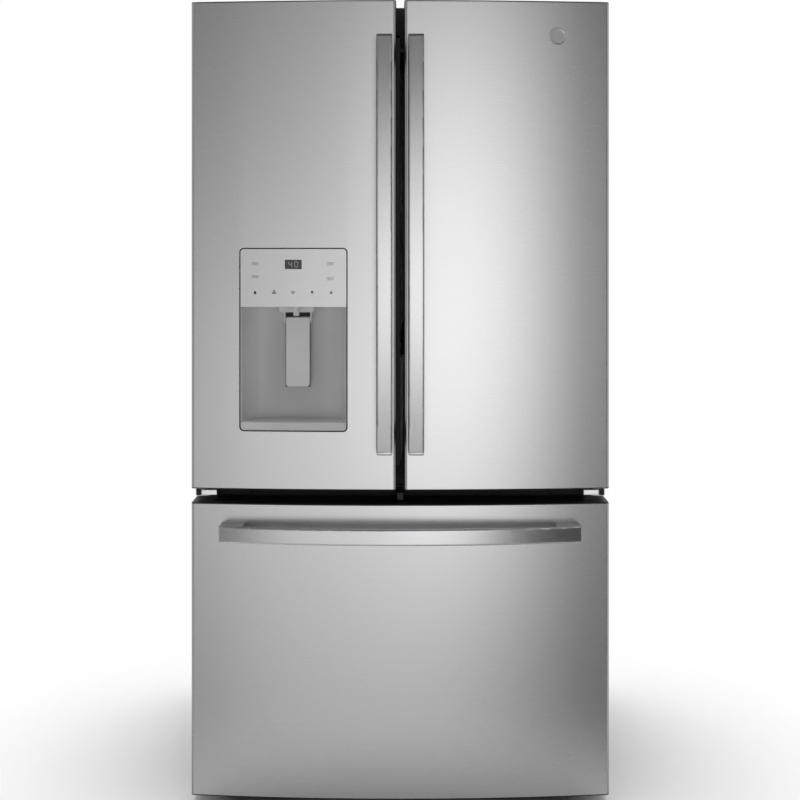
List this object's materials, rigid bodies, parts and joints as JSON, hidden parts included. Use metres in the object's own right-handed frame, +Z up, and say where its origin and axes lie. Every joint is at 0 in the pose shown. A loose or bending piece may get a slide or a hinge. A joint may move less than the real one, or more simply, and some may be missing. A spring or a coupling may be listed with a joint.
{
  "type": "french door refrigerator",
  "caption": "French door refrigerator in brushed steel with bowed doors, a door dispenser for ice and water, strap handles and a freezer drawer below.",
  "frame": {"origin": "on the floor under the middle of the bounding box", "axes": "+X right as seen from the front, +Y to the back, +Z up; the doors face -Y"},
  "size_m": [0.908, 0.93, 1.763],
  "materials": {
    "case_paint": "satin",
    "rear_sheet": "matt",
    "foam": "matt",
    "white_liner": "gloss",
    "dark_trim": "satin",
    "base_steel": "satin",
    "zinc": "satin",
    "foot_plastic": "matt",
    "roller_plastic": "matt",
    "black_can": "satin",
    "coil_metal": "satin",
    "black_plastic": "matt",
    "grey_plastic": "satin",
    "cover_sheet": "matt",
    "valve_brass": "satin",
    "track_paint": "gloss",
    "shelf_glass": "clear",
    "shelf_trim": "gloss",
    "clear_plastic": "clear",
    "lamp_lens": "frosted",
    "runner_steel": "satin",
    "stainless": "brushed",
    "handle_steel": "brushed",
    "gasket_rubber": "matt",
    "dispenser_grey": "satin",
    "panel_silver": "satin",
    "display_black": "gloss"
  },
  "bodies": {
    "cabinet": {"outer_wrapper": "case_paint", "rear_panel": "rear_sheet", "insulation": "foam", "fresh_food_liner": "white_liner", "freezer_liner": "white_liner", "middle_rail": "dark_trim", "base_frame": "base_steel", "leveling_feet": "foot_plastic", "compressor": "black_can", "condenser": "coil_metal", "condenser_fan_motor": "grey_plastic", "drain_pan": "black_plastic", "rear_cover": "cover_sheet", "water_valve": "valve_brass", "evaporator": "coil_metal", "evaporator_cover": "white_liner", "air_duct": "white_liner", "shelf_tracks": "track_paint", "shelf_glass": "shelf_glass", "shelf_frames": "shelf_trim", "crisper_cover": "shelf_trim", "lamp_lens": "lamp_lens", "top_hinges": "zinc", "hinge_covers": "dark_trim", "center_hinges": "zinc", "drawer_runners": "runner_steel"},
    "rear_rollers": {"rear_rollers": "roller_plastic"},
    "condenser_fan": {"condenser_fan": "black_plastic"},
    "evaporator_fan": {"evaporator_fan": "black_plastic"},
    "left_crisper": {"left_crisper": "clear_plastic"},
    "right_crisper": {"right_crisper": "clear_plastic"},
    "left_door": {"left_door_skin": "stainless", "left_door_caps": "dark_trim", "left_door_liner": "white_liner", "left_door_gasket": "gasket_rubber", "left_door_handle": "handle_steel", "left_door_bins": "clear_plastic", "ice_box": "white_liner", "dispenser_housing": "dispenser_grey", "control_panel": "panel_silver", "display_window": "display_black", "ice_chute": "black_plastic", "drip_tray": "dispenser_grey"},
    "mullion": {"mullion_bar": "grey_plastic"},
    "paddle": {"dispenser_paddle": "dispenser_grey"},
    "chute_flap": {"chute_flap": "black_plastic"},
    "right_door": {"right_door_skin": "stainless", "right_door_caps": "dark_trim", "right_door_liner": "white_liner", "right_door_gasket": "gasket_rubber", "right_door_handle": "handle_steel", "right_door_bins": "clear_plastic"},
    "freezer_drawer": {"freezer_skin": "stainless", "freezer_caps": "dark_trim", "freezer_front_liner": "white_liner", "freezer_gasket": "gasket_rubber", "drawer_handle": "handle_steel", "drawer_slides": "runner_steel", "freezer_bin": "clear_plastic"},
    "freezer_basket": {"freezer_basket": "white_liner"}
  },
  "joints": [
    {"name": "left_door_hinge", "type": "hinge", "parent": "cabinet", "child": "left_door", "pos_m": [-0.432, -0.338, 0.686], "axis": [0, 0, -1], "range_deg": [0, 120]},
    {"name": "right_door_hinge", "type": "hinge", "parent": "cabinet", "child": "right_door", "pos_m": [0.432, -0.338, 0.686], "axis": [0, 0, 1], "range_deg": [0, 120]},
    {"name": "mullion_fold", "type": "hinge", "parent": "left_door", "child": "mullion", "pos_m": [-0.04, -0.268, 0.671], "axis": [0, 0, 1], "range_deg": [0, 90]},
    {"name": "freezer_drawer_slide", "type": "slide", "parent": "cabinet", "child": "freezer_drawer", "axis": [0, -1, 0], "range_m": [0, 0.42]},
    {"name": "freezer_basket_slide", "type": "slide", "parent": "freezer_drawer", "child": "freezer_basket", "axis": [0, 1, 0], "range_m": [0, 0.15]},
    {"name": "left_crisper_slide", "type": "slide", "parent": "cabinet", "child": "left_crisper", "axis": [0, -1, 0], "range_m": [0, 0.085]},
    {"name": "right_crisper_slide", "type": "slide", "parent": "cabinet", "child": "right_crisper", "axis": [0, -1, 0], "range_m": [0, 0.085]},
    {"name": "paddle_press", "type": "hinge", "parent": "left_door", "child": "paddle", "pos_m": [-0.225, -0.336, 1.053], "axis": [1, 0, 0], "range_deg": [0, 8], "stiffness_Nm_per_rad": 1.5, "springref_deg": -5.73},
    {"name": "chute_flap_swing", "type": "hinge", "parent": "left_door", "child": "chute_flap", "pos_m": [-0.225, -0.33, 1.19], "axis": [1, 0, 0], "range_deg": [0, 41]},
    {"name": "condenser_fan_spin", "type": "hinge", "parent": "cabinet", "child": "condenser_fan", "pos_m": [-0.16, 0.35, 0.155], "axis": [1, 0, 0], "continuous": true},
    {"name": "evaporator_fan_spin", "type": "hinge", "parent": "cabinet", "child": "evaporator_fan", "pos_m": [0, 0.329, 0.577], "axis": [0, 1, 0], "continuous": true},
    {"name": "rear_roller_spin", "type": "hinge", "parent": "cabinet", "child": "rear_rollers", "pos_m": [0, 0.395, 0.024], "axis": [1, 0, 0], "continuous": true}
  ],
  "couplings": [
    {"joint": "mullion_fold", "follows": "left_door_hinge", "ratio": 0.75},
    {"joint": "chute_flap_swing", "follows": "paddle_press", "ratio": 5}
  ]
}
